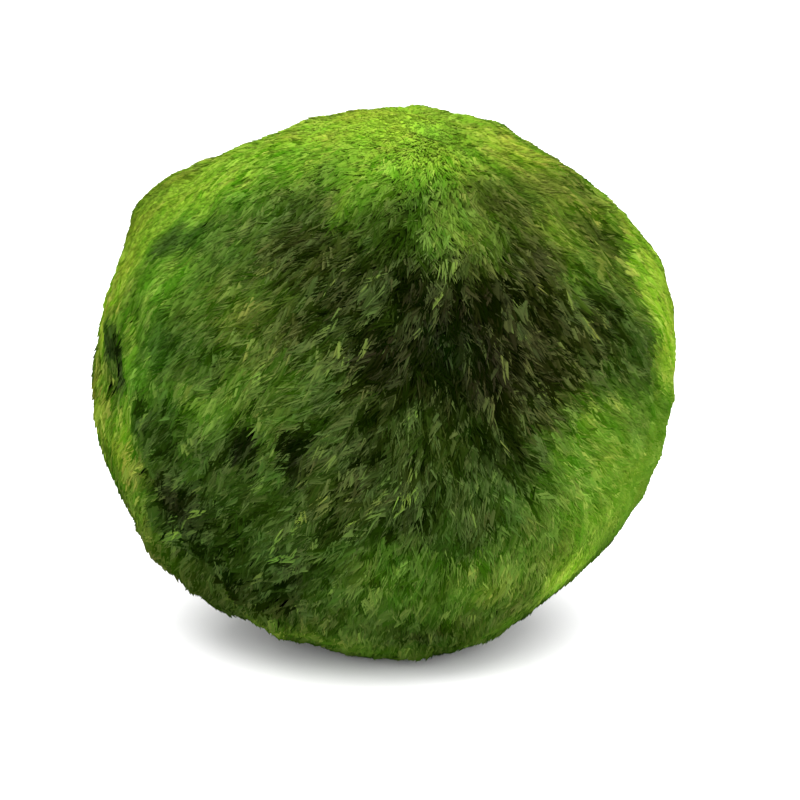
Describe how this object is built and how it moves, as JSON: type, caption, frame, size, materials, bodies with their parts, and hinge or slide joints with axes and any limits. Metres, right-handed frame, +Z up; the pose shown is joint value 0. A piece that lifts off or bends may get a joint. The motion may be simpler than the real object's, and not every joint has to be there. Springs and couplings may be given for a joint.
{
  "type": "marimo moss ball",
  "caption": "Soft, slightly lumpy ball of matted green alga filaments that rests loose on an aquarium bed or shelf.",
  "frame": {"origin": "on the surface that the ball rests on, below the middle of its box", "axes": "+Z up, out of the flat rest spot; +X to the right and -Y towards the viewer when the side in the picture is seen from the front"},
  "size_m": [0.0506, 0.049, 0.0468],
  "materials": {
    "moss": "matte, velvety to shaggy filaments, yellow-green on top and dark olive in the hollows"
  },
  "bodies": {
    "root": {"moss_ball": "moss"}
  },
  "joints": []
}
